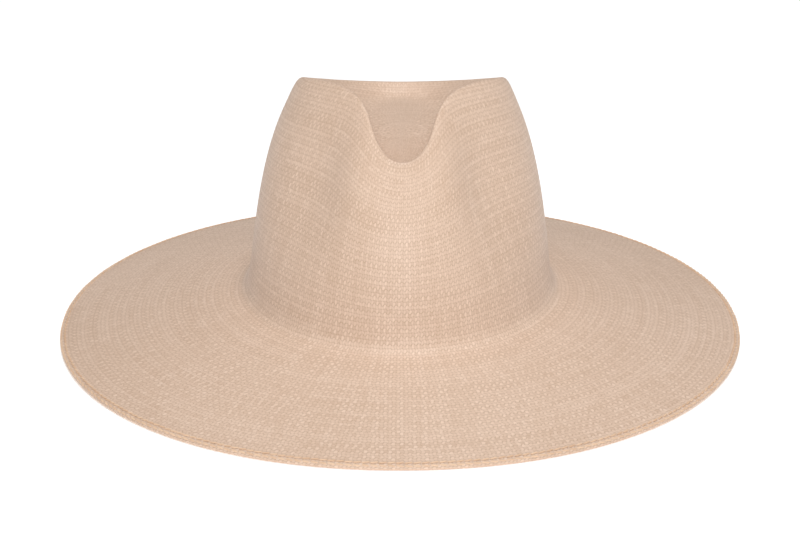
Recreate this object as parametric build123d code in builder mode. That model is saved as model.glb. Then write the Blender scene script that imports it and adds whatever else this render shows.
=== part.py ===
from build123d import *
from math import atan2, cos, degrees, exp, pi, radians, sin
import os

# Wide-brimmed panama hat, front towards -Y, resting on its brim edge at Z = 0.
# Millimetres.  The origin is the middle of the head oval on the resting plane.

# ---- driving dimensions -------------------------------------------------------------
HEAD_HALF_WIDTH = 84.0        # outside of the crown at the brim break
HEAD_HALF_LENGTH = 101.0
BRIM_HALF_WIDTH = 190.0
BRIM_HALF_LENGTH = 201.8
BRIM_CENTRE_Y = 9.2
BRIM_SQUARENESS = 2.06        # 2 is a true ellipse
BREAK_HEIGHT = 28.6           # crown meets brim
EDGE_HEIGHT = 2.55            # top face of the brim at its edge

RIDGE_HALF_WIDTH = 61.8       # crest that runs round the dent in the crown
RIDGE_HALF_LENGTH = 69.0
RIDGE_CENTRE_Y = -1.0
RIDGE_HEIGHT = 159.4
FRONT_DROP = 39.0             # crest falls to the front lip
BACK_DROP = 35.0              # and, more slowly, to the back
PINCH = 0.536                 # share of the crest width taken by each front pinch
PINCH_ANGLE = radians(44.3)
PINCH_SPREAD = radians(40.0)
WALL_TAPER = 0.389
WALL_ROUNDING = 3.58

FLOOR_HALF_WIDTH = 22.0       # floor of the dent
FLOOR_HALF_LENGTH = 54.0
FLOOR_CENTRE_Y = -4.0
FLOOR_HEIGHT = 118.9
FLOOR_TILT = 3.5
FLOOR_DOME = 2.5

STRAW = 1.0                   # thickness of the woven straw
HEM_FLAP = 6.0                # straw turned under the brim edge
WIRE_RADIUS = 0.5
WIRE_ROOM = 0.05
WIRE_GAP = radians(0.3)       # half the gap between the ends of wire and seams, at the back
THREAD_RADIUS = 0.22
SEAM_INSET = 3.6              # hem seam, inwards from the middle of the fold
SEAM_RISE = 2.1               # straw's top face at the seam, above the middle of the fold
SEAM_FALL = 1.4               # and its lowest face there, below it
TOUCH = 0.05                  # clearance left between pieces that lie against each other

BAND_FOOT = 31.0              # sweatband: a ribbon doubled over, open foot to top
BAND_TOP = 62.0
BAND_LAYER = 0.6
BAND_SETBACK = 1.3            # between the crown's outside and the band
CHANNEL_DEPTH = 2.2           # room between the layers for the sizing cord
BAND_SEAM_HEIGHT = 33.5

CORD_RADIUS = 0.8
CORD_HOLE_RADIUS = 0.85
CORD_HEIGHT = 58.6
CORD_ANGLE = radians(160)     # where the cord's tails leave the band, from the front
TAIL_SPACING = 3.4
TAIL_FOOT = 29.0
KNOT_RADIUS = 1.5
BEAD_RADIUS = 3.6
BEAD_LENGTH = 7.0
BEAD_HEIGHT = 50.0            # middle of the bead when the cord is drawn up

BOW_HEIGHT = 45.0             # middle of the bow
BOW_RIBBON = 9.0
BOW_LOOP = 8.0                # half-length of each loop
BOW_DEPTH = 2.3

LABEL_ANGLE = radians(203)
LABEL_WIDTH = 14.0
LABEL_LENGTH = 19.0
LABEL_LAYER = 0.4

RING_POINTS = 48              # points on every closed outline


# ---- shape of the hat: every outline is a function of the angle from the front ------
def squarish(angle):
    """Unit oval, slightly squarer than an ellipse."""
    n = BRIM_SQUARENESS
    r = (abs(cos(angle)) ** n + abs(sin(angle)) ** n) ** (-1 / n)
    return r * sin(angle), r * cos(angle)


def brim_edge(angle, inset=0.0):
    """Outermost line of the brim, moved inwards square to itself by the inset."""
    x, y = squarish(angle)
    edge = Vector(BRIM_HALF_WIDTH * x, BRIM_CENTRE_Y - BRIM_HALF_LENGTH * y, 0)
    outward = Vector(sin(angle) / BRIM_HALF_WIDTH, -cos(angle) / BRIM_HALF_LENGTH, 0)
    return edge - outward.normalized() * inset


def head_oval(angle):
    return Vector(HEAD_HALF_WIDTH * sin(angle), -HEAD_HALF_LENGTH * cos(angle), 0)


def pinch(angle):
    """How far the two front pinches press the crest in, 0 to about 0.6."""
    total = 0
    for side in (-1, 1):
        away = (angle - side * PINCH_ANGLE + pi) % (2 * pi) - pi
        total += exp(-((away / PINCH_SPREAD) ** 2))
    return PINCH * total


def ridge(angle):
    x = RIDGE_HALF_WIDTH * sin(angle) * (1 - pinch(angle))
    y = RIDGE_CENTRE_Y - RIDGE_HALF_LENGTH * cos(angle)
    to_front = (1 + cos(angle)) / 2
    z = RIDGE_HEIGHT - FRONT_DROP * to_front ** 7.57 - BACK_DROP * (1 - to_front) ** 1.547
    return Vector(x, y, z)


def dent_floor(angle):
    return Vector(
        FLOOR_HALF_WIDTH * sin(angle),
        FLOOR_CENTRE_Y - FLOOR_HALF_LENGTH * cos(angle),
        FLOOR_HEIGHT - FLOOR_TILT * cos(angle),
    )


def between(a, b, across, upward):
    """From a towards b: one share for the plan position, another for the height."""
    spot = a + (b - a) * across
    return Vector(spot.X, spot.Y, a.Z + (b.Z - a.Z) * upward)


def wall(angle, share):
    """Crown wall at a share of the height between the brim break and the crest."""
    foot, crest = head_oval(angle), ridge(angle)
    inward = WALL_TAPER * share + (1 - WALL_TAPER) * share ** WALL_ROUNDING
    foot = Vector(foot.X, foot.Y, BREAK_HEIGHT)
    return between(foot, crest, inward, share)


def brim(angle, share):
    """Brim top at a share of the way from the head oval to the edge."""
    foot = head_oval(angle)
    foot = Vector(foot.X, foot.Y, BREAK_HEIGHT)
    edge = brim_edge(angle)
    return between(foot, Vector(edge.X, edge.Y, EDGE_HEIGHT), share, share)


def section(angle):
    """Control points of the straw's outer face, from the crown's eye to the brim edge."""
    eye = Vector(0, FLOOR_CENTRE_Y, FLOOR_HEIGHT + FLOOR_DOME)
    floor, crest = dent_floor(angle), ridge(angle)
    points = [between(eye, floor, a, u) for a, u in ((0.1, 0), (0.2, 0.03), (0.35, 0.12), (0.7, 0.5), (0.98, 1))]
    slope = ((0.18, 0.03), (0.45, 0.30), (0.72, 0.68), (0.90, 0.95))
    points += [between(floor, crest, a, u) for a, u in slope]
    points += [crest + Vector(0, 0, 0.8)]
    points += [wall(angle, h) for h in (0.95, 0.86, 0.75, 0.62, 0.49, 0.37, 0.26, 0.17, 0.085)]
    points += [brim(angle, 0.012) + Vector(0, 0, 0.6)]
    points += [brim(angle, f) for f in (0.075, 0.15, 0.25, 0.4, 0.55, 0.7, 0.85, 0.96)]
    return points


def face_point(angle, i, depth=0.0):
    """Point on the smooth outer face over control point i, sunk into the straw by depth."""
    before, here, after = section(angle)[i - 1:i + 2]
    spot = (before + here * 4 + after) / 6
    step = 0.01
    ahead = section(angle + step)[i] - section(angle - step)[i]
    normal = ahead.cross(before - after).normalized()
    return spot - normal * depth


def hem_point(angle, out, up):
    """Point near the brim edge: out from the fold's centre and up square to the brim."""
    fold = STRAW + WIRE_RADIUS + WIRE_ROOM
    edge = brim_edge(angle)
    inner = brim(angle, 0.9)
    along = (edge - brim_edge(angle, 1)).normalized()
    fall = (inner.Z - EDGE_HEIGHT) / (Vector(edge.X - inner.X, edge.Y - inner.Y, 0).length)
    along = (along - Vector(0, 0, fall)).normalized()
    raised = (Vector(0, 0, 1) - along * along.Z).normalized()
    centre = edge + Vector(0, 0, EDGE_HEIGHT) - along * fold - raised * fold
    return centre + along * out + raised * up


def closed_curve(place, *extra):
    """Closed curve through place(angle, ...) once round the hat."""
    angles = [2 * pi * k / RING_POINTS for k in range(RING_POINTS)]
    points = [place(a, *extra) for a in angles]
    knots = [k / RING_POINTS for k in range(RING_POINTS + 1)]
    return Edge.make_spline(points, periodic=True, parameters=knots)


def ring(place, *extra):
    return Wire([closed_curve(place, *extra)])


OUTER = STRAW + WIRE_RADIUS + WIRE_ROOM
INNER = WIRE_RADIUS + WIRE_ROOM
FACE_STEPS = range(1, len(section(0)) - 1)


def eye_ring(angle, depth):
    """Small level oval at the middle of the dent, where the weaving starts."""
    y = FLOOR_CENTRE_Y - 5.4 * cos(angle)
    return Vector(2.2 * sin(angle), y, FLOOR_HEIGHT + FLOOR_DOME - depth)


def fold_rings(radius, turns):
    return [ring(hem_point, radius * cos(radians(t)), radius * sin(radians(t))) for t in turns]


def flap_rings():
    """Turned-under straw: out along its lower face, round its raw edge and back."""
    rise = 0.4
    stops = (
        (HEM_FLAP / 2, rise / 2),
        (HEM_FLAP, rise),
        (HEM_FLAP + STRAW / 2, rise + STRAW / 2),
        (HEM_FLAP, rise + STRAW),
        (HEM_FLAP / 2, rise / 2 + STRAW),
    )
    return [ring(hem_point, -run, up - OUTER) for run, up in stops]


# ---- woven body: crown, brim and turned-under hem are one piece of straw ------------
body_rings = [ring(eye_ring, 0)]
body_rings += [ring(face_point, i) for i in FACE_STEPS]
body_rings += fold_rings(OUTER, (90, 45, 0, -45, -90))
body_rings += flap_rings()
body_rings += fold_rings(INNER, (-90, -45, 0, 45, 90))
body_rings += [ring(face_point, i, STRAW) for i in reversed(FACE_STEPS)]
body_rings += [ring(eye_ring, STRAW)]

with BuildPart() as woven_body:
    add(Solid.make_loft(body_rings))
    with Locations((0, 0, -5)):
        Box(2.5 * BRIM_HALF_WIDTH, 2.5 * BRIM_HALF_LENGTH, 10, mode=Mode.SUBTRACT)
woven_body.part.label = "woven_body"


# ---- wire in the fold of the hem ----------------------------------------------------
def nearly_round(out, up):
    """Path beside the hem, from the back once round to the back again."""
    span = 2 * (pi - WIRE_GAP)
    turns = [WIRE_GAP - pi + span * k / RING_POINTS for k in range(RING_POINTS + 1)]
    return [hem_point(turn, out, up) for turn in turns]


with BuildPart() as brim_wire:
    with BuildLine() as wire_path:
        Spline(nearly_round(0, 0))
    with BuildSketch(Plane(origin=wire_path.line @ 0, z_dir=wire_path.line % 0)):
        Circle(WIRE_RADIUS)
    sweep()
brim_wire.part.label = "brim_wire"


# ---- hem seam: one thread on top, one below -----------------------------------------
with BuildPart() as hem_top_thread:
    with BuildLine() as top_seam:
        Spline(nearly_round(-SEAM_INSET, SEAM_RISE + THREAD_RADIUS + TOUCH))
    with BuildSketch(Plane(origin=top_seam.line @ 0, z_dir=top_seam.line % 0)):
        Circle(THREAD_RADIUS)
    sweep()
hem_top_thread.part.label = "hem_top_thread"

with BuildPart() as hem_bobbin_thread:
    with BuildLine() as lower_seam:
        Spline(nearly_round(-SEAM_INSET, -SEAM_FALL - THREAD_RADIUS))
    with BuildSketch(Plane(origin=lower_seam.line @ 0, z_dir=lower_seam.line % 0)):
        Circle(THREAD_RADIUS)
    sweep()
hem_bobbin_thread.part.label = "hem_bobbin_thread"


# ---- sweatband: ribbon doubled over so that the cord runs between its layers --------
def inside(angle, height, inset):
    """Point at a height, set in from the outside of the crown wall."""
    share = (height - BREAK_HEIGHT) / (ridge(angle).Z - BREAK_HEIGHT)
    spot = wall(angle, share)
    outward = Vector(sin(angle) / HEAD_HALF_WIDTH, -cos(angle) / HEAD_HALF_LENGTH, 0)
    spot = spot - outward.normalized() * inset
    return Vector(spot.X, spot.Y, height)


def spread(height):
    """Gap between the two layers of the sweatband, closed at the foot."""
    rise = (height - BAND_FOOT) / (BAND_TOP - BAND_FOOT)
    return CHANNEL_DEPTH * min(1, 1.25 * rise)


def head_face(height):
    """Inset of the band's face that touches the head."""
    return BAND_SETBACK + 2 * BAND_LAYER + spread(height)


def plug(levels, inset):
    """Solid filling the crown between the levels, set in by inset(height)."""
    return Solid.make_loft([ring(inside, z, inset(z)) for z in levels], ruled=True)


BAND_LEVELS = [BAND_FOOT + (BAND_TOP - BAND_FOOT) * k / 5 for k in range(6)]
CHANNEL_LEVELS = [BAND_FOOT + 7, BAND_FOOT + 18, BAND_FOOT + 25, BAND_TOP - BAND_LAYER]

with BuildPart() as channel:
    add(plug(CHANNEL_LEVELS, lambda z: BAND_SETBACK + BAND_LAYER))
    add(plug(CHANNEL_LEVELS, lambda z: head_face(z) - BAND_LAYER), mode=Mode.SUBTRACT)

exit_spot = inside(CORD_ANGLE, CORD_HEIGHT, head_face(CORD_HEIGHT))
exit_run = inside(CORD_ANGLE + 0.01, CORD_HEIGHT, 4) - inside(CORD_ANGLE - 0.01, CORD_HEIGHT, 4)
cord_exit = Plane(origin=exit_spot, x_dir=exit_run, z_dir=(0, 0, 1))

with BuildPart() as sweatband:
    add(plug(BAND_LEVELS, lambda z: BAND_SETBACK))
    add(plug(BAND_LEVELS, head_face), mode=Mode.SUBTRACT)
    add(channel.part, mode=Mode.SUBTRACT)
    with Locations(cord_exit):
        Box(4 * TAIL_SPACING, 2.5, 3 * CORD_RADIUS, mode=Mode.SUBTRACT)
sweatband.part.label = "sweatband"

with BuildPart() as sweatband_thread:
    with BuildLine() as band_seam:
        add(closed_curve(inside, BAND_SEAM_HEIGHT, head_face(BAND_SEAM_HEIGHT) + THREAD_RADIUS + TOUCH))
    with BuildSketch(Plane(origin=band_seam.line @ 0, z_dir=band_seam.line % 0)):
        Circle(THREAD_RADIUS)
    sweep()
sweatband_thread.part.label = "sweatband_thread"


# ---- sizing cord: once round inside the band, both tails out at the back ------------
def beside_exit(along, inwards, height):
    """Point near the cord's exit: along the band, then in from its head face."""
    spot = cord_exit.origin + cord_exit.x_dir * along + cord_exit.y_dir * inwards
    return Vector(spot.X, spot.Y, height)


CORD_INSET = BAND_SETBACK + BAND_LAYER + CHANNEL_DEPTH / 2
TAIL_INWARDS = BEAD_RADIUS + 1.0
tail_offset = TAIL_SPACING / 2
exit_turn = tail_offset / HEAD_HALF_LENGTH
cord_span = 2 * (pi - exit_turn)
cord_turns = [CORD_ANGLE + exit_turn + cord_span * k / RING_POINTS for k in range(RING_POINTS + 1)]

with BuildPart() as sizing_cord:
    with BuildLine() as cord_path:
        Spline([inside(a, CORD_HEIGHT, CORD_INSET) for a in cord_turns])
    with BuildSketch(Plane(origin=cord_path.line @ 0, z_dir=cord_path.line % 0)):
        Circle(CORD_RADIUS)
    sweep()
    for end, side in ((cord_path.line @ 0, 1), (cord_path.line @ 1, -1)):
        bend = beside_exit(side * tail_offset, TAIL_INWARDS, CORD_HEIGHT)
        foot = beside_exit(side * tail_offset, TAIL_INWARDS, TAIL_FOOT)
        with Locations(Plane(origin=end, z_dir=bend - end)):
            Sphere(CORD_RADIUS)
            Cylinder(CORD_RADIUS, (bend - end).length, align=(Align.CENTER, Align.CENTER, Align.MIN))
        with Locations(Plane(origin=bend)):
            Sphere(CORD_RADIUS)
        with Locations(Plane(origin=foot)):
            Cylinder(CORD_RADIUS, CORD_HEIGHT - TAIL_FOOT, align=(Align.CENTER, Align.CENTER, Align.MIN))
            Sphere(KNOT_RADIUS)
sizing_cord.part.label = "sizing_cord"


# ---- bead that grips both tails and slides along them -------------------------------
bead_middle = Plane(origin=beside_exit(0, TAIL_INWARDS, BEAD_HEIGHT), x_dir=cord_exit.x_dir, z_dir=(0, 0, 1))
with BuildPart() as sizing_bead:
    with Locations(bead_middle):
        Cylinder(BEAD_RADIUS, BEAD_LENGTH)
    fillet(sizing_bead.edges(), 1.0)
    with Locations(bead_middle):
        with Locations((-tail_offset, 0), (tail_offset, 0)):
            Cylinder(CORD_HOLE_RADIUS, 2 * BEAD_LENGTH, mode=Mode.SUBTRACT)
sizing_bead.part.label = "sizing_bead"


# ---- flat bow over the join of the sweatband, at the back ---------------------------
bow_top = BOW_HEIGHT + BOW_RIBBON / 2
bow_back = inside(pi - 0.23, bow_top, head_face(bow_top)).Y - TOUCH
bow_middle = bow_back - BOW_DEPTH
bow_foot = BOW_HEIGHT - BOW_RIBBON / 2
with BuildPart() as bow_loops:
    with BuildSketch(Plane.XY.offset(bow_foot)):
        with Locations((-BOW_LOOP - 1.7, bow_middle), (BOW_LOOP + 1.7, bow_middle)):
            Ellipse(BOW_LOOP, BOW_DEPTH)
            Ellipse(BOW_LOOP - 0.5, BOW_DEPTH - 0.5, mode=Mode.SUBTRACT)
        with Locations((0, bow_middle)):
            Rectangle(4.4, 1.0)
    extrude(amount=BOW_RIBBON)
bow_loops.part.label = "bow_loops"

with BuildPart() as bow_knot:
    with BuildSketch(Plane.XY.offset(bow_foot - 0.5)):
        with Locations((0, bow_middle)):
            RectangleRounded(3.2, 2 * BOW_DEPTH, 0.8)
    extrude(amount=BOW_RIBBON + 1)
    with BuildSketch(Plane.XY.offset(bow_foot - TOUCH)):
        with Locations((0, bow_middle)):
            Rectangle(6, 1.0 + 2 * TOUCH)
    extrude(amount=BOW_RIBBON + 2 * TOUCH, mode=Mode.SUBTRACT)
bow_knot.part.label = "bow_knot"


# ---- blank folded label caught in the band at the back ------------------------------
label_top = BAND_FOOT + 3 + LABEL_LENGTH
label_spot = inside(LABEL_ANGLE, label_top, head_face(label_top) + 0.6)
label_run = inside(LABEL_ANGLE + 0.01, label_top, 4) - inside(LABEL_ANGLE - 0.01, label_top, 4)
label_plane = Plane(origin=label_spot, x_dir=label_run, z_dir=(0, 0, 1)).offset(-LABEL_LENGTH)
with BuildPart() as care_label:
    with BuildSketch(label_plane):
        with Locations((0, LABEL_LAYER + 0.2)):
            Rectangle(LABEL_WIDTH, 2 * LABEL_LAYER)
    extrude(amount=LABEL_LENGTH)
    fillet(care_label.edges().filter_by(Axis.Z), 0.3)
care_label.part.label = "care_label"


# ---- one file for each piece --------------------------------------------------------
os.makedirs("parts", exist_ok=True)
export_step(woven_body.part, "parts/woven_body.step")
export_step(brim_wire.part, "parts/brim_wire.step")
export_step(hem_top_thread.part, "parts/hem_top_thread.step")
export_step(hem_bobbin_thread.part, "parts/hem_bobbin_thread.step")
export_step(sweatband.part, "parts/sweatband.step")
export_step(sweatband_thread.part, "parts/sweatband_thread.step")
export_step(sizing_cord.part, "parts/sizing_cord.step")
export_step(sizing_bead.part, "parts/sizing_bead.step")
export_step(bow_loops.part, "parts/bow_loops.step")
export_step(bow_knot.part, "parts/bow_knot.step")
export_step(care_label.part, "parts/care_label.step")
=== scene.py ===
import math

import bpy
import numpy as np
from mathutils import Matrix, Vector


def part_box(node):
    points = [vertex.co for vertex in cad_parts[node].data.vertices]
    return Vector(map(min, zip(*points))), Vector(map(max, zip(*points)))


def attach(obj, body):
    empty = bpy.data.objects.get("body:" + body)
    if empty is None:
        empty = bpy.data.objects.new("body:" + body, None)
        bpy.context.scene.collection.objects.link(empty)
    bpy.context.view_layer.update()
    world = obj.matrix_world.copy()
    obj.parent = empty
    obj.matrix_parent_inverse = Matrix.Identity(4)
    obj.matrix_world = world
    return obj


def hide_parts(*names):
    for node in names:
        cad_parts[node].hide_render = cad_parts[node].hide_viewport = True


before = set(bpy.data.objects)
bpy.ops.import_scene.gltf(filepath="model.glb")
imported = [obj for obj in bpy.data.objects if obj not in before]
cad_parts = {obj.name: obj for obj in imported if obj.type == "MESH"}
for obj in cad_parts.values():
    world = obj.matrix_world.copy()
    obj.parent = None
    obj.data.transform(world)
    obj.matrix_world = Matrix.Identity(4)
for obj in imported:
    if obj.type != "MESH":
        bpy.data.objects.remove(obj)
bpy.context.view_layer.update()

# ---- shape of the hat, in metres -----------------------------------------------------
# The outlines are the CAD part's. The crest is fuller, the front pinches are hollowed and the
# dent is deeper at the back.
HEAD_HALF_WIDTH = 0.084
HEAD_HALF_LENGTH = 0.101
BRIM_HALF_WIDTH = 0.190
BRIM_HALF_LENGTH = 0.2018
BRIM_CENTRE_Y = 0.0092
BRIM_SQUARENESS = 2.06
BREAK_HEIGHT = 0.0286
EDGE_HEIGHT = 0.00255

RIDGE_HALF_WIDTH = 0.0618
RIDGE_HALF_LENGTH = 0.069
RIDGE_CENTRE_Y = -0.001
RIDGE_HEIGHT = 0.1594
FRONT_DROP = 0.039
BACK_DROP = 0.035
PINCH = 0.536
PINCH_ANGLE = math.radians(44.3)
PINCH_SPREAD = math.radians(40.0)
THUMB_DENT = 0.0085           # how far each front pinch hollows the wall below the crest
THUMB_ANGLE = math.radians(50.0)
THUMB_SPREAD = math.radians(20.0)
CROWN_LEAN = 0.0014           # the blocked crown stands a little to one side
WALL_TAPER = 0.389
WALL_ROUNDING = 3.58

FLOOR_HALF_WIDTH = 0.022
FLOOR_HALF_LENGTH = 0.057
FLOOR_CENTRE_Y = -0.003
FLOOR_HEIGHT = 0.1172
FLOOR_TILT = 0.0018
FLOOR_DOME = 0.0015

CREST_RISE = 0.0026           # the crest's control point above the ridge line
EYE_ROWS = ((0.1, 0), (0.2, 0.03), (0.35, 0.12), (0.7, 0.5), (0.98, 1))
SLOPE_ROWS = ((0.14, 0.01), (0.37, 0.22), (0.60, 0.67), (0.80, 0.94))
WALL_ROWS = (0.905, 0.82, 0.73, 0.62, 0.49, 0.37, 0.26, 0.17, 0.085)
BRIM_ROWS = (0.075, 0.15, 0.25, 0.4, 0.55, 0.7, 0.85, 0.92, 0.985, 1.05)

STRAW = 0.001                 # thickness of the straw
FOLD_RADIUS = 0.00155         # outside of the turned hem
FLAP = 0.006                  # straw turned under

# ---- weave --------------------------------------------------------------------------
RING_PITCH = 0.0023           # one ring of the weave to the next
CROWN_STRAWS = 350            # upright straws round the crown
EYE_PITCH = 0.0013            # between straws where the weave begins
BRIM_PITCH = 0.0021           # between straws at the brim's edge
RELIEF = 0.00011              # how far each crossing stands up
HEM_STITCH = 0.0043           # one stitch over the hem to the next
STRAW_LEAN = 0.17             # how far a straw sways in its cell as it passes over and under

# ---- sweatband, cord and label ------------------------------------------------------
BAND_FOOT = 0.031
BAND_TOP = 0.062
BAND_LAYER = 0.0006
BAND_SETBACK = 0.0013         # between the crown's outside and the band
CHANNEL_DEPTH = 0.0022        # room between the layers for the cord
BAND_SEAM_HEIGHT = 0.0335
RIB_PITCH = 0.0012            # of the ribbed ribbon
BAND_STITCH = 0.0036          # one stitch of the running seam to the next
BOW_RIBBON = 0.0004           # thickness of the bow's ribbon

CORD_RADIUS = 0.0008
CORD_HEIGHT = 0.0586
CORD_ANGLE = math.radians(160)
CORD_INSET = BAND_SETBACK + BAND_LAYER + CHANNEL_DEPTH / 2
CORD_BEND = 0.0022
TAIL_SPACING = 0.0034
TAIL_FOOT = 0.029
KNOT_RADIUS = 0.0015

LABEL_ANGLE = math.radians(203)
LABEL_WIDTH = 0.014
LABEL_LAYER = 0.00022


def stack(x, y, z):
    return np.stack(np.broadcast_arrays(x, y, z), -1)


def squarish(angle):
    n = BRIM_SQUARENESS
    r = (np.abs(np.cos(angle)) ** n + np.abs(np.sin(angle)) ** n) ** (-1 / n)
    return r * np.sin(angle), r * np.cos(angle)


def unit(v):
    return v / np.linalg.norm(v, axis=-1, keepdims=True)


def oval_outward(angle, half_width, half_length):
    """Level direction square to an oval."""
    return unit(stack(np.sin(angle) / half_width, -np.cos(angle) / half_length, 0.0))


def brim_edge(angle):
    x, y = squarish(angle)
    return stack(BRIM_HALF_WIDTH * x, BRIM_CENTRE_Y - BRIM_HALF_LENGTH * y, EDGE_HEIGHT)


def head_oval(angle):
    return stack(HEAD_HALF_WIDTH * np.sin(angle), -HEAD_HALF_LENGTH * np.cos(angle), BREAK_HEIGHT)


def pair_of_bumps(angle, middle, width):
    """One smooth bump each side of the front, up to about 1."""
    total = 0.0
    for side in (-1, 1):
        away = (angle - side * middle + math.pi) % (2 * math.pi) - math.pi
        total = total + np.exp(-((away / width) ** 2))
    return total


def pinch(angle):
    return PINCH * pair_of_bumps(angle, PINCH_ANGLE, PINCH_SPREAD)


def ridge(angle):
    to_front = (1 + np.cos(angle)) / 2
    return stack(
        CROWN_LEAN + RIDGE_HALF_WIDTH * np.sin(angle) * (1 - pinch(angle)),
        RIDGE_CENTRE_Y - RIDGE_HALF_LENGTH * np.cos(angle),
        RIDGE_HEIGHT - FRONT_DROP * to_front ** 7.57 - BACK_DROP * (1 - to_front) ** 1.547,
    )


def dent_floor(angle):
    return stack(
        CROWN_LEAN + FLOOR_HALF_WIDTH * np.sin(angle),
        FLOOR_CENTRE_Y - FLOOR_HALF_LENGTH * np.cos(angle),
        FLOOR_HEIGHT - FLOOR_TILT * np.cos(angle),
    )


def between(a, b, across, upward):
    spot = a + (b - a) * across
    spot[..., 2] = a[..., 2] + (b[..., 2] - a[..., 2]) * upward
    return spot


def wall(angle, share):
    """Crown wall at a share of its height, hollowed a little at each front pinch."""
    share = np.asarray(share, dtype=float)
    inward = WALL_TAPER * share + (1 - WALL_TAPER) * share ** WALL_ROUNDING
    thumb = pair_of_bumps(angle, THUMB_ANGLE, THUMB_SPREAD)
    hollow = THUMB_DENT * thumb * np.sin(math.pi * share ** 1.5) ** 2
    outward = oval_outward(angle, HEAD_HALF_WIDTH, HEAD_HALF_LENGTH)
    spot = between(head_oval(angle), ridge(angle), inward[..., None], share)
    return spot - outward * hollow[..., None]


def brim(angle, share):
    return between(head_oval(angle), brim_edge(angle), share, share)


def section(angle):
    """Control points of the straw's outer face, from the crown's eye to the brim edge."""
    eye = stack(CROWN_LEAN + 0 * angle, FLOOR_CENTRE_Y, FLOOR_HEIGHT + FLOOR_DOME)
    floor, crest = dent_floor(angle), ridge(angle)
    rows = [between(eye, floor, -0.1, 0), eye]
    rows += [between(eye, floor, across, upward) for across, upward in EYE_ROWS]
    rows += [between(floor, crest, across, upward) for across, upward in SLOPE_ROWS]
    rows += [crest + np.array((0, 0, CREST_RISE))]
    rows += [wall(angle, height) for height in WALL_ROWS]
    rows += [brim(angle, 0.012) + np.array((0, 0, 0.0006))]
    rows += [brim(angle, f) for f in BRIM_ROWS]
    return np.stack(rows)


SPANS = len(section(np.zeros(1))) - 3
BREAK_SPAN = SPANS - len(BRIM_ROWS) + 1       # where the crown turns into the brim


def face(along, angle):
    """Outer face and its normals, for rows of distances along the section at each angle."""
    rows = section(angle)
    turn = section(angle + 0.01) - section(angle - 0.01)
    i = np.minimum(along.astype(int), SPANS - 1)
    f = (along - i)[..., None]
    place = ((1 - f) ** 3, 3 * f ** 3 - 6 * f ** 2 + 4, 3 * f + 3 * f ** 2 - 3 * f ** 3 + 1, f ** 3)
    slope = (-((1 - f) ** 2), 3 * f ** 2 - 4 * f, 2 * f - 3 * f ** 2 + 1, f ** 2)
    column = np.arange(len(angle))
    near = [rows[i + k, column] for k in range(4)]
    run = sum(w * r for w, r in zip(slope, near))
    ahead = sum(w * turn[i + k, column] for k, w in enumerate(place))
    spot = sum(w / 6 * r for w, r in zip(place, near))
    return spot, unit(np.cross(run, ahead))


def hem_frame(angle):
    """Centre of the turned hem, with directions out along the brim and up square to it."""
    edge, inner = brim_edge(angle), brim(angle, 0.9)
    level = oval_outward(angle, BRIM_HALF_WIDTH, BRIM_HALF_LENGTH)
    drop = (inner - edge)[..., 2:] / np.linalg.norm((inner - edge)[..., :2], axis=-1, keepdims=True)
    along = unit(level - drop * np.array((0, 0, 1.0)))
    raised = unit(np.array((0, 0, 1.0)) - along * along[..., 2:])
    return edge - (along + raised) * FOLD_RADIUS, along, raised


def hem_rows(places, angle):
    """Rows of points about the hem, pressed flat where they would sink into the table."""
    centre, along, raised = hem_frame(angle)
    rows = [centre + along * out + raised * up for out, up in places]
    for row in rows:
        row[..., 2] = np.maximum(row[..., 2], 0)
    return rows


# ---- mesh building ------------------------------------------------------------------
def make_object(name, points, faces, uvs=None):
    """Mesh object from points, a list of faces, and one (u, v) for every face corner."""
    mesh = bpy.data.meshes.new(name)
    mesh.from_pydata([tuple(p) for p in points], [], faces)
    if uvs is not None:
        layer = mesh.uv_layers.new(name="weave")
        layer.data.foreach_set("uv", np.asarray(uvs, dtype=np.float32).ravel())
    mesh.polygons.foreach_set("use_smooth", [True] * len(mesh.polygons))
    obj = bpy.data.objects.new(name, mesh)
    bpy.context.scene.collection.objects.link(obj)
    return obj


def strip(first, count_a, second, count_b, turns, v_a, v_b):
    """Faces between two closed rows of points, as triangles where their counts differ."""
    faces, uvs = [], []
    if count_a == count_b:
        k = np.arange(count_a)
        n = (k + 1) % count_a
        faces = np.stack((first + k, second + k, second + n, first + n), 1)
        u, w = k * turns / count_a, (k + 1) * turns / count_a
        low, high = np.full(count_a, v_a), np.full(count_a, v_b)
        uvs = np.stack((u, low, u, high, w, high, w, low), 1)
        return faces.tolist(), uvs.reshape(-1, 2).tolist()
    i = j = 0
    while i < count_a or j < count_b:
        here_a, here_b = i / count_a, j / count_b
        a, b = (first + i % count_a), (second + j % count_b)
        if j < count_b and (i >= count_a or (j + 1) / count_b <= (i + 1) / count_a):
            faces.append((a, b, second + (j + 1) % count_b))
            uvs += [(here_a * turns, v_a), (here_b * turns, v_b), ((j + 1) / count_b * turns, v_b)]
            j += 1
        else:
            faces.append((a, b, first + (i + 1) % count_a))
            uvs += [(here_a * turns, v_a), (here_b * turns, v_b), ((i + 1) / count_a * turns, v_a)]
            i += 1
    return faces, uvs


# ---- the woven hat: crown, brim, turned hem and underside in one closed mesh ---------
PROBE = np.arange(96) * 2 * math.pi / 96


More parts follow.
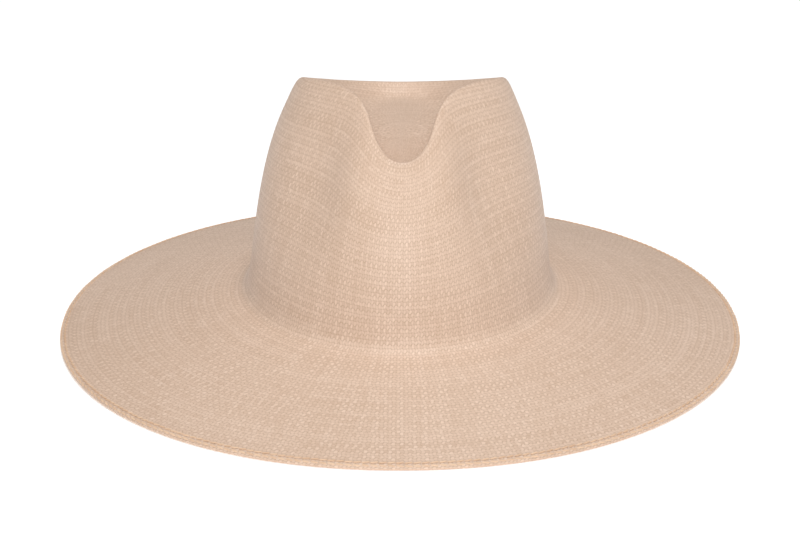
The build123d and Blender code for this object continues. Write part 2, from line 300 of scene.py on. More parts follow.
def weave_plan():
    """Where each half ring of the weave lies at every probe angle, and its number of straws.

    The rings keep an even pitch along the straw at every angle, so they cross the crest where
    it was pressed into the finished weave, and run level again at the foot of the crown.
    """
    fine = np.linspace(0.001, SPANS, SPANS * 12 + 1)
    spots = face(np.repeat(fine[:, None], len(PROBE), 1), PROBE)[0]
    steps = np.linalg.norm(np.diff(spots, axis=0), axis=-1)
    length = np.concatenate((np.zeros((1, len(PROBE))), np.cumsum(steps, 0)))
    turn = BREAK_SPAN * 12
    alongs = []
    for low, high in ((0, turn), (turn, len(fine) - 1)):
        run = length[high] - length[low]
        halves = int(round(run.mean() / (RING_PITCH / 2)))
        for k in range(1, halves + 1):
            reach = length[low] + run * k / halves
            alongs.append([np.interp(r, column, fine) for r, column in zip(reach, length.T)])
    alongs = np.array(alongs)
    loops = face(alongs, PROBE)[0]
    girths = np.linalg.norm(loops - np.roll(loops, 1, 1), axis=-1).sum(1)
    plan, straws = [], 0
    for row, (along, girth) in enumerate(zip(alongs, girths)):
        zone = 2 if row < 24 else 6
        if row % (2 * zone) == 0 or row < 4:
            crown = min(CROWN_STRAWS, girth / EYE_PITCH)
            straws = max(straws, 2 * int(round(max(crown, girth / BRIM_PITCH) / 2)))
        plan.append((along, straws))
    return plan


def relief(row, count):
    """Height of the weave at the points of a row: crossings stand up, gaps sink."""
    odd = np.arange(count) % 2
    if row % 2:
        return RELIEF * np.where(odd, 1.0, -0.15)
    return RELIEF * np.where(odd, 0.0, -1.0) - (0.1 * RELIEF if row % 4 == 0 else 0.0)


def build_hat():
    plan = weave_plan()
    rows = []                                  # (points, straws, weave coordinate)
    upper, lower = [], []
    start = 0
    while start < len(plan):
        straws = plan[start][1]
        stop = start
        while stop < len(plan) and plan[stop][1] == straws:
            stop += 1
        angle = np.arange(2 * straws) * math.pi / straws
        alongs = [np.interp(angle, PROBE, along, period=2 * math.pi) for along, _ in plan[start:stop]]
        spots, normals = face(np.stack(alongs), angle)
        for k in range(stop - start):
            row = start + k + 1
            bump = relief(row, 2 * straws)[:, None]
            upper.append((spots[k] + normals[k] * bump, straws, row / 2))
            lower.append((spots[k] - normals[k] * (STRAW + bump), straws, row / 2))
        start = stop
    straws = plan[-1][1]
    angle = np.arange(2 * straws) * math.pi / straws
    last = len(plan) / 2
    inside = FOLD_RADIUS - STRAW
    arc = [math.radians(90 - 180 * k / 9) for k in range(1, 10)]
    places = [(FOLD_RADIUS * math.cos(a), FOLD_RADIUS * math.sin(a)) for a in arc]
    places += [(-FLAP * k / 5, -FOLD_RADIUS + 0.0004 * k / 5) for k in range(1, 6)]
    places += [(-FLAP - STRAW / 2, -FOLD_RADIUS + 0.0009), (-FLAP, -FOLD_RADIUS + 0.0014)]
    places += [(-FLAP / 2, -inside + 0.0002)]
    places += [(inside * math.cos(a), inside * math.sin(a)) for a in reversed(arc[::2])]
    hem = []
    for k, points in enumerate(hem_rows(places, angle)):
        hem.append((points, straws, last + (k + 1) / 2))
    rows = upper + hem + lower[:-1][::-1]

    points, faces, uvs, starts = [], [], [], []
    for row_points, _, _ in rows:
        starts.append(len(points))
        points.extend(row_points)
    for (a, b, first, second) in zip(rows, rows[1:], starts, starts[1:]):
        turns = max(a[1], b[1]) if len(a[0]) != len(b[0]) else a[1]
        got = strip(first, len(a[0]), second, len(b[0]), turns, a[2], b[2])
        faces += got[0]
        uvs += got[1]
    for row, first, flip in ((rows[0], starts[0], False), (rows[-1], starts[-1], True)):
        middle = len(points)
        points.append(row[0].mean(0))
        count = len(row[0])
        for k in range(count):
            ends = (first + k, first + (k + 1) % count)
            faces.append((middle, *(ends[::-1] if flip else ends)))
            uvs += [(0.5, 0.0), (k / 2, row[2]), ((k + 1) / 2, row[2])]
    hat = make_object("straw_hat", points, faces, uvs)
    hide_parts("woven_body")
    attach(hat, "hat")
    return hat


# ---- sewn, knotted and ribbon pieces --------------------------------------------------
def grid_object(name, grid, body, around=True, along=True, scale=(1.0, 1.0), capped=False):
    """Mesh over a grid of points; around and along say whether each direction closes up."""
    rows, columns = grid.shape[:2]
    points = list(grid.reshape(-1, 3))
    faces, uvs = [], []
    for i in range(rows if along else rows - 1):
        for j in range(columns if around else columns - 1):
            a, b = i * columns, (i + 1) % rows * columns
            n = (j + 1) % columns
            faces.append((a + j, a + n, b + n, b + j))
            low, high = i / rows * scale[0], (i + 1) / rows * scale[0]
            near, far = j / columns * scale[1], (j + 1) / columns * scale[1]
            uvs += [(low, near), (low, far), (high, far), (high, near)]
    if capped:
        for start, turn in ((0, -1), ((rows - 1) * columns, 1)):
            middle = len(points)
            points.append(grid.reshape(-1, 3)[start:start + columns].mean(0))
            for j in range(columns):
                ends = (start + j, start + (j + 1) % columns)
                faces.append((middle, *ends[::turn]))
                uvs += [(0.0, 0.0)] * 3
    obj = make_object(name, points, faces, uvs)
    face_outwards(obj.data)
    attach(obj, body)
    return obj


def face_outwards(mesh):
    """Turns every face the other way if the mesh is inside out."""
    mesh.calc_loop_triangles()
    spots = np.empty(len(mesh.vertices) * 3)
    mesh.vertices.foreach_get("co", spots)
    corners = np.empty(len(mesh.loop_triangles) * 3, dtype=np.int64)
    mesh.loop_triangles.foreach_get("vertices", corners)
    a, b, c = spots.reshape(-1, 3)[corners].reshape(-1, 3, 3).transpose(1, 0, 2)
    if (a * np.cross(b, c)).sum() < 0:
        mesh.flip_normals()


def tube(path, radius, closed=False, reference=(0, 0, 1), around=12, braid=0.0, pitch=0.0024):
    """Grid of points round a path; a braid raises strands that wind both ways round it."""
    step = np.gradient(path, axis=0) if not closed else np.roll(path, -1, 0) - np.roll(path, 1, 0)
    ahead = unit(step)
    side = unit(np.cross(ahead, np.broadcast_to(reference, ahead.shape)))
    up = np.cross(side, ahead)
    length = np.concatenate(((0,), np.cumsum(np.linalg.norm(np.diff(path, axis=0), axis=-1))))
    turn = np.arange(around) * 2 * math.pi / around
    wind = length[:, None] / pitch * 2 * math.pi
    strands = np.maximum(np.sin(2 * turn + wind), np.sin(2 * turn - wind))
    r = radius * (1 - braid + braid * strands)
    return (path[:, None] + side[:, None] * (r * np.cos(turn))[..., None]
            + up[:, None] * (r * np.sin(turn))[..., None])


def stitches(name, node, spots, ahead, upward, length, width, height):
    """A row of raised stitches, each a flattened capsule lying along its own direction."""
    aside = unit(np.cross(upward, ahead))
    turns = np.arange(8) * 2 * math.pi / 8
    stops = np.linspace(0, math.pi, 9)[1:-1]
    form = [(1.0, 0.0, 0.0)]
    for stop in stops:
        swell = math.sin(stop) ** 0.6
        form += [(math.cos(stop), swell * math.cos(t), swell * math.sin(t)) for t in turns]
    form = np.array(form + [(-1.0, 0.0, 0.0)]) / 2 * (length, width, height)
    last, rings = len(form) - 1, len(stops)
    one = []
    for j in range(8):
        n = (j + 1) % 8
        one.append((0, 1 + j, 1 + n))
        one.append((last, last - 8 + n, last - 8 + j))
        one += [(1 + 8 * i + j, 9 + 8 * i + j, 9 + 8 * i + n, 1 + 8 * i + n) for i in range(rings - 1)]
    points, faces, uvs = [], [], []
    for k in range(len(spots)):
        base = len(points)
        points += list(spots[k] + form @ np.stack((ahead[k], aside[k], upward[k])))
        faces += [tuple(base + v for v in f) for f in one]
        uvs += [(k + form[v][0] / length + 0.5, form[v][1] / width + 0.5) for f in one for v in f]
    obj = make_object(name, points, faces, uvs)
    face_outwards(obj.data)
    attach(obj, "hat")
    if node:
        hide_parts(node)
    return obj


def even_turns(place, pitch):
    """Angles that put points at an even pitch along place(angle), and the way ahead there."""
    fine = np.linspace(0, 2 * math.pi, 721)
    length = np.concatenate(((0,), np.cumsum(np.linalg.norm(np.diff(place(fine), axis=0), axis=-1))))
    count = int(round(length[-1] / pitch))
    turns = np.interp(np.arange(count) * length[-1] / count, length, fine)
    return turns, unit(place(turns + 0.002) - place(turns - 0.002))


def hem_stitches(name, node, inset, rise, slant, below=False):
    """One round of stitches over the turned hem, at an inset from the brim's outermost line."""
    def place(angle):
        return hem_rows([(FOLD_RADIUS - inset, rise)], angle)[0]

    turns, ahead = even_turns(place, HEM_STITCH)
    _, outward, raised = hem_frame(turns)
    ahead = unit(ahead + outward * slant)
    upward = -raised if below else raised
    wobble = 0.00008 * np.sin(turns * 37) + 0.00005 * np.sin(turns * 91)
    return stitches(name, node, place(turns) + outward * wobble[:, None], ahead, upward,
                    HEM_STITCH * 0.93, 0.0011, 0.0006)


def straw_at(angle, height):
    """Point of the straw's smoothed outer face at one height of the lower crown wall."""
    along = np.linspace(BREAK_SPAN - 6, BREAK_SPAN + 0.5, 66)
    spots = face(np.repeat(along[:, None], len(angle), 1), angle)[0]
    column = np.arange(len(angle))
    row = np.clip((spots[..., 2] > height).sum(0) - 1, 0, len(along) - 2)
    high, low = spots[row, column], spots[row + 1, column]
    share = (high[:, 2] - height) / (high[:, 2] - low[:, 2])
    return high + (low - high) * share[:, None]


def inside(angle, height, inset):
    """Point at a height, set in from the crown wall or from the straw where that lies deeper."""
    share = (height - BREAK_HEIGHT) / (ridge(angle)[..., 2] - BREAK_HEIGHT)
    outward = oval_outward(angle, HEAD_HALF_WIDTH, HEAD_HALF_LENGTH)
    spot = wall(angle, share)
    sunk = np.maximum(((spot - straw_at(angle, height)) * outward).sum(-1), 0)
    return spot - outward * (inset + sunk)[:, None]


def spread(height):
    """Gap between the two layers of the sweatband, closed at the foot."""
    return CHANNEL_DEPTH * min(1, 1.25 * (height - BAND_FOOT) / (BAND_TOP - BAND_FOOT))


def head_face(height):
    return BAND_SETBACK + 2 * BAND_LAYER + spread(height)


def build_sweatband():
    """Ribbed ribbon doubled over at the foot, with a rolled selvedge along both top edges."""
    heights = np.linspace(BAND_FOOT + 0.0006, BAND_TOP - 0.0003, 12)
    crest, edge = BAND_TOP, 0.0004
    profile = [(BAND_SETBACK, h, 1) for h in heights]
    profile += [(BAND_SETBACK + BAND_LAYER / 2, crest, edge)]
    profile += [(BAND_SETBACK + BAND_LAYER, h, 1) for h in heights[::-3]]
    profile += [(head_face(h) - BAND_LAYER + 0.00005, h, 1) for h in heights[2::3]]
    profile += [(head_face(crest) - BAND_LAYER / 2, crest, edge)]
    profile += [(head_face(h), h, 1) for h in heights[::-1]]
    profile += [(BAND_SETBACK + BAND_LAYER, BAND_FOOT, 0)]
    ribs = int(2 * math.pi * 0.09 / RIB_PITCH)
    angle = np.arange(ribs * 4) * 2 * math.pi / (ribs * 4)
    rib = 0.00007 * np.cos(angle * ribs)
    sway = 0.00012 * np.sin(angle * 5 + 1) + 0.0001 * np.sin(angle * 13)
    rows = []
    for inset, height, ribbed in profile:
        faces_head = inset >= BAND_SETBACK + BAND_LAYER * 1.01
        lift = (height - BAND_FOOT) / (BAND_TOP - BAND_FOOT)
        shift = inset + (rib * ribbed + sway * lift) * faces_head
        rows.append(inside(angle, height, shift))
    band = grid_object("ribbed_sweatband", np.stack(rows), "hat", scale=(len(rows), ribs))
    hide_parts("sweatband")
    return band


def band_stitches():
    """Running stitch that holds the foot of the sweatband to the straw."""
    inset = head_face(BAND_SEAM_HEIGHT) + 0.0001

    def place(angle):
        return inside(angle, BAND_SEAM_HEIGHT, inset)

    turns, ahead = even_turns(place, BAND_STITCH)
    upward = -oval_outward(turns, HEAD_HALF_WIDTH, HEAD_HALF_LENGTH)
    return stitches("sweatband_stitches", "sweatband_thread", place(turns), ahead, upward,
                    0.0027, 0.0005, 0.0005)


def tails():
    """Middle between the cord's tails, and the direction from one tail to the other."""
    low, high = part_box("sizing_bead")
    middle = np.array((low + high) / 2)
    turn = np.array((CORD_ANGLE - 0.01, CORD_ANGLE + 0.01))
    ends = inside(turn, CORD_HEIGHT, 0.004)
    return middle, unit(ends[1] - ends[0])


def build_cord():
    """Braided cord: round inside the band, both tails out through it and down to a knot."""
    middle, across = tails()
    turn = TAIL_SPACING / 2 / HEAD_HALF_LENGTH
    ring = inside(CORD_ANGLE + np.linspace(turn, 2 * math.pi - turn, 700), CORD_HEIGHT, CORD_INSET)
    ends = []
    for start, side in ((ring[0], 1), (ring[-1], -1)):
        bend = middle + across * side * TAIL_SPACING / 2
        bend[2] = CORD_HEIGHT
        foot = bend * (1, 1, 0) + np.array((0, 0, TAIL_FOOT))
        before, after = bend + unit(start - bend) * CORD_BEND, bend + unit(foot - bend) * CORD_BEND
        t = np.linspace(0, 1, 12)[:, None]
        curve = before * (1 - t) ** 2 + bend * 2 * t * (1 - t) + after * t ** 2
        run = np.linspace(start, before, 8)[:-1]
        drop = np.linspace(after, foot, 60)[1:]
        ends.append(np.concatenate((run, curve, drop)))
    path = np.concatenate((ends[0][::-1], ring[1:-1], ends[1]))
    lean = np.array((0.31, 0.42, 0.85))
    grid = tube(path, CORD_RADIUS * 0.98, reference=lean, braid=0.09, pitch=0.0032)
    cord = grid_object("braided_cord", grid, "hat", along=False, scale=(400, 1), capped=True)
    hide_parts("sizing_cord")
    made = [cord]
    t = np.arange(90) * 2 * math.pi / 90
    twist = stack(np.sin(t) + 2 * np.sin(2 * t), np.cos(t) - 2 * np.cos(2 * t), -1.3 * np.sin(3 * t))
    for number, end in enumerate(ends):
        loop = end[-1] + twist * KNOT_RADIUS / 3.4
        grid = tube(loop, CORD_RADIUS * 0.75, closed=True, reference=(0.2, 0.1, 1), braid=0.08)
        made.append(grid_object(f"cord_knot_{number + 1}", grid, "hat", scale=(30, 1)))
    return made


def ribbon(name, path, heights, ribs=60):
    """Upright loop of ribbed ribbon along a level path, its height free to change."""
    step = np.roll(path, -1, 0) - np.roll(path, 1, 0)
    outward = unit(np.cross(step, (0, 0, 1.0)))
    climb = np.linspace(-0.5, 0.5, 9)
    rib = 0.00005 * np.cos(np.linspace(0, 2 * math.pi * ribs, len(path)))
    rows = []
    for side, levels in ((1, climb), (-1, climb[::-1])):
        for level in levels:
            worn = 0.5 if abs(level) > 0.45 else 1.0
            out = outward * (side * (BOW_RIBBON / 2 + rib) * worn)[:, None]
            rows.append(path + out + stack(0, 0, 1.0) * (level * heights)[:, None])
    grid = np.stack(rows).transpose(1, 0, 2)
    return grid_object(name, grid, "hat", scale=(ribs, 1))


def build_bow():
    """Small flat ribbon bow over the join of the sweatband, gathered by a narrow knot."""
    low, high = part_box("bow_loops")
    middle = (low + high) / 2
    reach, depth, tall = (high - low).x / 2 - 0.0014, (high - low).y / 2 - 0.0004, (high - low).z
    made = []
    t = np.linspace(0, 2 * math.pi, 241)[:-1]
    for name, side in (("bow_loop_left", -1), ("bow_loop_right", 1)):
        x = middle.x + side * (0.0014 + reach * (1 - np.cos(t)) / 2)
        y = middle.y + depth * np.sin(t) * np.sin(t / 2) ** 0.7 + 0.0001 * side
        swell = np.sin(t / 2)
        heights = tall * (0.55 + 0.45 * swell ** 0.8) + 0.0002 * np.sin(3 * t)
        path = stack(x, y, middle.z - 0.0004 * swell)
        made.append(ribbon(name, path, heights))
    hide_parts("bow_loops")
    low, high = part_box("bow_knot")
    centre = (low + high) / 2
    wide, deep = (high - low).x / 2, (high - low).y / 2
    form = np.abs(np.cos(t)) ** 0.6 * np.sign(np.cos(t)), np.abs(np.sin(t)) ** 0.6 * np.sign(np.sin(t))
    path = stack(centre.x + wide * 0.85 * form[0], centre.y + deep * 0.85 * form[1], centre.z)
    pull = 0.0006 * np.cos(t) ** 2
    knot = ribbon("bow_wrap", path, (high - low).z * 0.8 - pull, ribs=16)
    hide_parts("bow_knot")
    return made + [knot]


def build_label():
    """Blank tape folded at its foot, with a bar of stitches along its top."""
    low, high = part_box("care_label")
    top = high.z
    tall = high.z - low.z
    face_inset = head_face(min(top, BAND_TOP)) + 0.0006
    turn = LABEL_WIDTH / 2 / HEAD_HALF_LENGTH
    angle = LABEL_ANGLE + np.linspace(-turn, turn, 29)
    profile = [(0, h) for h in np.linspace(0, tall, 16)]
    profile += [(LABEL_LAYER * 1.6, tall + 0.00015), (LABEL_LAYER * 2.4, tall)]
    profile += [(LABEL_LAYER * 2.4, h) for h in np.linspace(tall, 0, 16)[1:]]
    rows = []
    for depth, down in profile:
        share = down / tall
        curl = 0.00035 * share ** 2 * np.sin((angle - LABEL_ANGLE) / turn * 2.1 + 0.6)
        rows.append(inside(angle, top - down, face_inset + depth + curl + 0.0003 * share))
    label = grid_object("blank_label", np.stack(rows), "hat", around=False, scale=(40, 30))
    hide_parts("care_label")
    turns = LABEL_ANGLE + np.linspace(-turn, turn, 8)[1:-1]
    spots = inside(turns, top - 0.0012, face_inset + LABEL_LAYER * 2.4)
    upward = -oval_outward(turns, HEAD_HALF_WIDTH, HEAD_HALF_LENGTH)
    ahead = unit(inside(turns + 0.01, top, 0.004) - inside(turns - 0.01, top, 0.004))
    bar = stitches("label_stitches", None, spots, ahead, upward, 0.0018, 0.0004, 0.0003)
    return [label, bar]


# ---- materials ----------------------------------------------------------------------
class Nodes:
    """Short names for building a node tree."""

    def __init__(self, name):
        self.material = bpy.data.materials.new(name)
        self.material.use_nodes = True
        self.tree = self.material.node_tree
        self.shader = self.tree.nodes["Principled BSDF"]

    def add(self, kind, **settings):
        node = self.tree.nodes.new(kind)
        for key, value in settings.items():
            setattr(node, key, value)
        return node

    def plug(self, value, socket):
        if isinstance(value, bpy.types.NodeSocket):
            self.tree.links.new(value, socket)
        else:
            socket.default_value = value

    def math(self, operation, *values):
        node = self.add("ShaderNodeMath", operation=operation)
        for value, socket in zip(values, node.inputs):
            self.plug(value, socket)
        return node.outputs[0]

    def mix(self, amount, a, b):
        node = self.add("ShaderNodeMix", data_type="RGBA")
        self.plug(amount, node.inputs[0])
        self.plug(a, node.inputs[6])
        self.plug(b, node.inputs[7])
        return node.outputs[2]

    def blend(self, amount, a, b):
        node = self.add("ShaderNodeMix")
        for value, socket in zip((amount, a, b), (node.inputs[0], node.inputs[2], node.inputs[3])):
            self.plug(value, socket)
        return node.outputs[0]

    def noise(self, vector, scale, detail=2.0):
        node = self.add("ShaderNodeTexNoise")
        self.plug(vector, node.inputs["Vector"])
        self.plug(scale, node.inputs["Scale"])
        self.plug(detail, node.inputs["Detail"])
        return node.outputs["Fac"]

    def combine(self, x, y):
        node = self.add("ShaderNodeCombineXYZ")
        for value, socket in zip((x, y), node.inputs):
            self.plug(value, socket)
        return node.outputs[0]

    def span(self, value, low, high, to_low, to_high):
        node = self.add("ShaderNodeMapRange")
        for v, socket in zip((value, low, high, to_low, to_high), node.inputs):
            self.plug(v, socket)
        return node.outputs[0]

    def random(self, x, y):
        """A steady random number for each whole pair of numbers."""
        node = self.add("ShaderNodeTexWhiteNoise", noise_dimensions="2D")
        self.plug(self.combine(x, y), node.inputs["Vector"])
        return node.outputs["Value"]

    def weave_uv(self):
        node = self.add("ShaderNodeUVMap", uv_map="weave")
        split = self.add("ShaderNodeSeparateXYZ")
        self.plug(node.outputs[0], split.inputs[0])
        return split.outputs[0], split.outputs[1]

    def place(self):
        return self.add("ShaderNodeTexCoord").outputs["Object"]

    def finish(self, colour, rough, height=None, distance=0.0002, strength=1.0, **inputs):
        self.plug(colour, self.shader.inputs["Base Color"])
        self.plug(rough, self.shader.inputs["Roughness"])
        for key, value in inputs.items():
            self.plug(value, self.shader.inputs[key.replace("_", " ")])
        if height is not None:
            bump = self.add("ShaderNodeBump")
            bump.inputs["Distance"].default_value = distance
            bump.inputs["Strength"].default_value = strength
            self.plug(height, bump.inputs["Height"])
            self.plug(bump.outputs[0], self.shader.inputs["Normal"])
        return self.material


def srgb(r, g, b):
    """Linear colour from the usual 0 to 255 numbers."""
    return tuple(((c / 255 + 0.055) / 1.055) ** 2.4 for c in (r, g, b)) + (1.0,)


STRAW_DARK = srgb(212, 182, 158)
STRAW_LIGHT = srgb(238, 212, 192)
# Painted shade: the colour that the gaps between straws and the lines between ring pairs are darkened
# towards.
STRAW_GAP_SHADE = srgb(186, 152, 124)




def straw_material():
    """Plain weave: at each crossing either the upright straw or the ring straw lies on top; painted shade
    darkens the gaps.
    """
    m = Nodes("woven_straw")
    flat_u, flat_v = m.weave_uv()
    place = m.place()
    stray = m.span(m.noise(place, 420.0, 1.0), 0.3, 0.7, -0.12, 0.12)
    lean_u = m.math("MULTIPLY", m.math("SINE", m.math("MULTIPLY", flat_v, math.pi)), STRAW_LEAN)
    lean_v = m.math("MULTIPLY", m.math("SINE", m.math("MULTIPLY", flat_u, math.pi)), STRAW_LEAN)
    u = m.math("ADD", m.math("ADD", flat_u, lean_u), stray)
    v = m.math("ADD", m.math("ADD", flat_v, lean_v), stray)
    iu, iv = m.math("FLOOR", u), m.math("FLOOR", v)
    fu, fv = m.math("FRACT", u), m.math("FRACT", v)
    ring_on_top = m.math("MODULO", m.math("ADD", iu, iv), 2.0)
    across_u = m.math("SINE", m.math("MULTIPLY", fu, math.pi))
    across_v = m.math("SINE", m.math("MULTIPLY", fv, math.pi))

    def straw(across, lengthwise):
        width = m.math("POWER", across, 0.34)
        arch = m.span(m.math("POWER", lengthwise, 0.6), 0.0, 1.0, 0.72, 1.0)
        return m.math("MULTIPLY", width, arch)

    height = m.blend(ring_on_top, straw(across_u, across_v), straw(across_v, across_u))
    # The lines between ring pairs are grooves in the bump, and their colour is also darkened as painted
    # shade.
    ring_pair = m.math("ABSOLUTE", m.math("SINE", m.math("MULTIPLY", v, math.pi / 2)))
    patches = m.noise(place, 38.0, 2.0)
    groove_and_shade_depth = m.span(patches, 0.35, 0.65, 0.05, 0.26)
    groove_and_shade = m.math("MULTIPLY", m.math("SUBTRACT", 1.0, m.math("POWER", ring_pair, 0.35)), groove_and_shade_depth)

    upright_tone = m.random(iu, m.math("FLOOR", m.math("MULTIPLY", v, 1 / 24)))
    ring_tone = m.random(m.math("ADD", iv, 0.5), m.math("FLOOR", m.math("MULTIPLY", u, 1 / 40)))
    straw_tone = m.blend(ring_on_top, upright_tone, ring_tone)
    cell_tone = m.random(iu, iv)
    drift = m.noise(place, 9.0, 3.0)
    tone = m.math("MULTIPLY", straw_tone, 0.26)
    # Cells with the ring straw on top are painted a little darker than cells with the upright straw on
    # top: a painted highlight on the upright straws. The other parts are the straws' own random tone.
    for part, share in ((cell_tone, 0.16), (drift, 0.34), (ring_on_top, -0.14)):
        tone = m.math("ADD", tone, m.math("MULTIPLY", part, share))
    colour = m.mix(m.span(tone, 0.02, 0.66, 0.0, 1.0), STRAW_DARK, STRAW_LIGHT)
    # Painted shade: the colour darkens where the weave sinks between straws and along the ring-pair
    # grooves.
    out_of_gap_shade = m.math("SUBTRACT", m.span(height, 0.15, 0.80, 0.0, 1.0), groove_and_shade)
    colour = m.mix(out_of_gap_shade, STRAW_GAP_SHADE, colour)
    fibre = m.noise(m.combine(m.math("MULTIPLY", u, 9.0), m.math("MULTIPLY", v, 0.8)), 1.0, 2.0)
    bumps = m.math("ADD", m.math("SUBTRACT", height, groove_and_shade), m.math("MULTIPLY", fibre, 0.12))
    rough = m.span(fibre, 0.3, 0.7, 0.42, 0.56)
    return m.finish(colour, rough, bumps, distance=0.00015, strength=0.5,
                    Specular_IOR_Level=0.45, Sheen_Weight=0.08, Sheen_Roughness=0.5)


def strand_material(name, dark, light):
    """Thread or straw lying along its own length, with fibres and a tone of its own for each strand."""
    m = Nodes(name)
    u, v = m.weave_uv()
    each = m.random(m.math("FLOOR", m.math("ADD", u, 0.001)), 3.0)
    fibre = m.noise(m.combine(m.math("MULTIPLY", u, 3.0), m.math("MULTIPLY", v, 9.0)), 1.0, 3.0)
    tone = m.math("ADD", m.math("MULTIPLY", each, 0.6), m.math("MULTIPLY", fibre, 0.4))
    colour = m.mix(tone, dark, light)
    return m.finish(colour, m.span(fibre, 0.3, 0.7, 0.45, 0.65), fibre, distance=0.0001, strength=0.5)


def ribbon_material():
    """Cream ribbed ribbon: ribs across it, fine threads between them, a little soiling."""
    m = Nodes("ribbed_ribbon")
    u, v = m.weave_uv()
    place = m.place()
    threads = m.noise(place, 2600.0, 2.0)
    cloud = m.noise(place, 60.0, 3.0)
    rib = m.math("ABSOLUTE", m.math("SINE", m.math("MULTIPLY", m.math("ADD", u, v), math.pi)))
    tone = m.math("ADD", m.math("MULTIPLY", threads, 0.5), m.math("MULTIPLY", cloud, 0.5))
    colour = m.mix(m.span(tone, 0.3, 0.7, 0.0, 1.0), srgb(214, 200, 178), srgb(238, 228, 210))
    height = m.math("ADD", m.math("MULTIPLY", rib, 0.3), threads)
    return m.finish(colour, m.span(threads, 0.3, 0.7, 0.6, 0.8), height, distance=0.0001,
                    strength=0.5, Sheen_Weight=0.2)


def cord_material():
    """Thin braid: strands that wind both ways, painted lighter on their crowns and darker between them as
    painted shade.
    """
    m = Nodes("braided_cord")
    u, v = m.weave_uv()
    winding = m.math("MULTIPLY", v, 4.0)
    one = m.math("SINE", m.math("MULTIPLY", m.math("ADD", u, winding), 2 * math.pi))
    other = m.math("SINE", m.math("MULTIPLY", m.math("SUBTRACT", u, winding), 2 * math.pi))
    strand = m.math("MAXIMUM", one, other)
    fibre = m.noise(m.place(), 3500.0, 2.0)
    # Painted shade: each strand's crown is painted lighter and the hollows between strands darker.
    tone = m.math("ADD", m.span(strand, -1.0, 1.0, 0.0, 0.7), m.math("MULTIPLY", fibre, 0.3))
    colour = m.mix(tone, srgb(186, 172, 150), srgb(240, 232, 218))
    return m.finish(colour, 0.7, m.math("ADD", strand, fibre), distance=0.0001, strength=0.4,
                    Sheen_Weight=0.15)


def bead_material():
    """Satin moulded bead, faintly streaked, rubbed duller in patches."""
    m = Nodes("satin_bead")
    place = m.place()
    cloud = m.noise(place, 180.0, 3.0)
    grain = m.noise(place, 2200.0, 2.0)
    colour = m.mix(m.span(cloud, 0.3, 0.7, 0.0, 1.0), srgb(190, 166, 134), srgb(212, 190, 158))
    return m.finish(colour, m.span(grain, 0.3, 0.7, 0.32, 0.48), grain, distance=0.00003, strength=0.3)


def wire_material():
    """Drawn steel wire: fine scratches along it and a few darker spots."""
    m = Nodes("drawn_wire")
    grain = m.noise(m.place(), 900.0, 3.0)
    colour = m.mix(grain, (0.34, 0.34, 0.33, 1), (0.62, 0.62, 0.60, 1))
    return m.finish(colour, m.span(grain, 0.3, 0.7, 0.25, 0.45), grain, distance=0.00002,
                    strength=0.3, Metallic=1.0)


def label_material():
    """Blank white woven tape in a fine twill."""
    m = Nodes("woven_tape")
    u, v = m.weave_uv()
    twill = m.math("SINE", m.math("MULTIPLY", m.math("ADD", u, v), 2 * math.pi))
    cloud = m.noise(m.place(), 220.0, 2.0)
    tone = m.math("ADD", m.span(twill, -1.0, 1.0, 0.0, 0.5), m.math("MULTIPLY", cloud, 0.5))
    colour = m.mix(tone, srgb(222, 218, 208), srgb(243, 240, 233))
    return m.finish(colour, m.span(cloud, 0.3, 0.7, 0.5, 0.65), twill, distance=0.00006,
                    strength=0.35, Sheen_Weight=0.15)


def dress(objects, material):
    for obj in objects:
        obj.data.materials.clear()
        obj.data.materials.append(material)


# ---- put the hat together -----------------------------------------------------------
dress([build_hat()], straw_material())
rim = [
    hem_stitches("rim_stitches_outer", "hem_top_thread", 0.0010, 0.00142, 0.20),
    hem_stitches("rim_stitches_inner", "hem_top_thread", 0.0031, 0.00174, -0.20),
    hem_stitches("rim_stitches_below", "hem_bobbin_thread", 0.0040, -0.00148, 0.20, below=True),
]
dress(rim, strand_material("rim_straw", srgb(218, 180, 146), srgb(242, 211, 180)))
dress([build_sweatband(), *build_bow()], ribbon_material())
dress(build_cord(), cord_material())
label, label_bar = build_label()
dress([label], label_material())
sewing_thread = strand_material("sewing_thread", srgb(178, 156, 126), srgb(214, 196, 166))
dress([band_stitches(), label_bar], sewing_thread)
dress([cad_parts["sizing_bead"]], bead_material())
dress([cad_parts["brim_wire"]], wire_material())

# ---- floor, light and camera --------------------------------------------------------
CAMERA_LENS = 128.7           # millimetres
CAMERA_LIFT = math.radians(21.2)
CAMERA_DISTANCE = 1.6
CAMERA_AIM = 0.0333           # how far the camera looks above the middle of the brim

LIT_SPOT = (0, 0, 0.05)       # both lamps are turned to the crown
ROOM_GLOW = 0.30              # of the room on the hat
ROOM_SEEN = 0.90              # of the room as the camera sees it
FLOOR_GLOW = 0.38
FLOOR_HALF = 6.0


def area_light(name, place, size, power):
    lamp = bpy.data.lights.new(name, "AREA")
    lamp.shape = "DISK"
    lamp.size = size
    lamp.energy = power
    obj = bpy.data.objects.new(name, lamp)
    obj.location = place
    obj.rotation_euler = (Vector(LIT_SPOT) - Vector(place)).to_track_quat("-Z", "Y").to_euler()
    bpy.context.scene.collection.objects.link(obj)


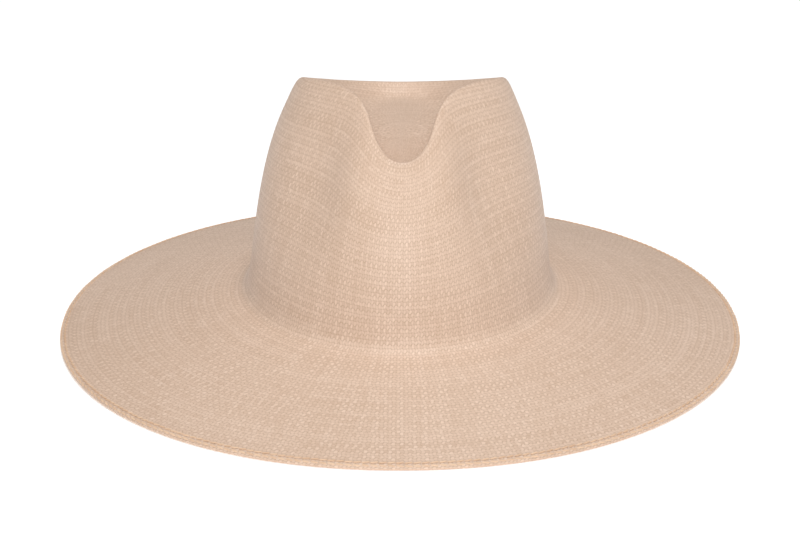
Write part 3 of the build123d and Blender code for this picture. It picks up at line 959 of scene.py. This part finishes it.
def pale_room():
    """A dim even glow for the hat, which the camera itself sees as a pale wall."""
    world = bpy.data.worlds.new("studio")
    world.use_nodes = True
    nodes, links = world.node_tree.nodes, world.node_tree.links
    glow = nodes.new("ShaderNodeMapRange")
    glow.inputs["To Min"].default_value = ROOM_GLOW
    glow.inputs["To Max"].default_value = ROOM_SEEN
    links.new(nodes.new("ShaderNodeLightPath").outputs["Is Camera Ray"], glow.inputs["Value"])
    links.new(glow.outputs[0], nodes["Background"].inputs["Strength"])
    nodes["Background"].inputs["Color"].default_value = (1, 1, 1, 1)
    return world


def build_stage():
    corners = ((-1, -1), (1, -1), (1, 1), (-1, 1))
    floor = make_object("floor", [(FLOOR_HALF * x, FLOOR_HALF * y, 0) for x, y in corners], [(0, 1, 2, 3)])
    m = Nodes("pale_floor")
    speck = m.noise(m.place(), 3.0, 3.0)
    colour = m.mix(m.span(speck, 0.3, 0.7, 0.0, 1.0), (0.90, 0.90, 0.90, 1), (0.93, 0.93, 0.93, 1))
    m.plug(colour, m.shader.inputs["Emission Color"])
    m.plug(FLOOR_GLOW, m.shader.inputs["Emission Strength"])
    floor.data.materials.append(m.finish(colour, 0.9))
    bpy.context.scene.world = pale_room()


def build_lights():
    area_light("top", (0.15, -0.1, 2.5), 1.2, 34)
    area_light("front", (0.02, -2.6, 0.85), 0.8, 25.5)


def build_camera():
    """Facing the hat's front from a little above."""
    camera = bpy.data.objects.new("camera", bpy.data.cameras.new("camera"))
    camera.data.sensor_width = 36.0
    camera.data.lens = CAMERA_LENS
    up = Vector((0, math.sin(CAMERA_LIFT), math.cos(CAMERA_LIFT)))
    middle = Vector((0, 0, EDGE_HEIGHT))
    camera.location = middle + Vector((0, -math.cos(CAMERA_LIFT), math.sin(CAMERA_LIFT))) * CAMERA_DISTANCE
    aim = middle + up * CAMERA_AIM
    camera.rotation_euler = (aim - camera.location).to_track_quat("-Z", "Y").to_euler()
    bpy.context.scene.collection.objects.link(camera)
    bpy.context.scene.camera = camera


build_stage()
build_lights()
build_camera()
bpy.context.scene.view_settings.view_transform = "Standard"
